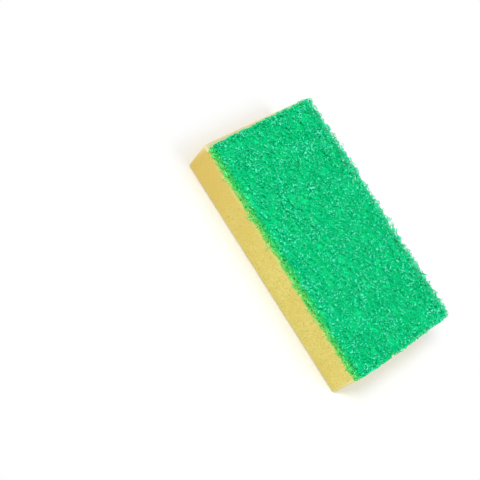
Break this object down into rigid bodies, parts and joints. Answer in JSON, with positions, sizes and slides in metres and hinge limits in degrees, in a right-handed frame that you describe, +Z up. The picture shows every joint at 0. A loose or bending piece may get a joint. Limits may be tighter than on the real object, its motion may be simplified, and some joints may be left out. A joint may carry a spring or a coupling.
{
  "type": "cleaning sponge",
  "caption": "Flat rectangular cleaning sponge: a soft pale yellow foam block with a thinner mat of curled green plastic strands bonded over its top face.",
  "frame": {"origin": "middle of the foam's flat underside", "axes": "+X along the length, towards the end whose web is cut flush with the foam; +Y across the width; +Z up, from the foam to the web"},
  "size_m": [0.14, 0.08, 0.026],
  "materials": {
    "foam": "open-cell polyurethane foam, matt, finely pored",
    "web": "glossy curled plastic strands, vivid green"
  },
  "bodies": {
    "root": {"foam_block": "foam", "scouring_web": "web"}
  },
  "joints": []
}
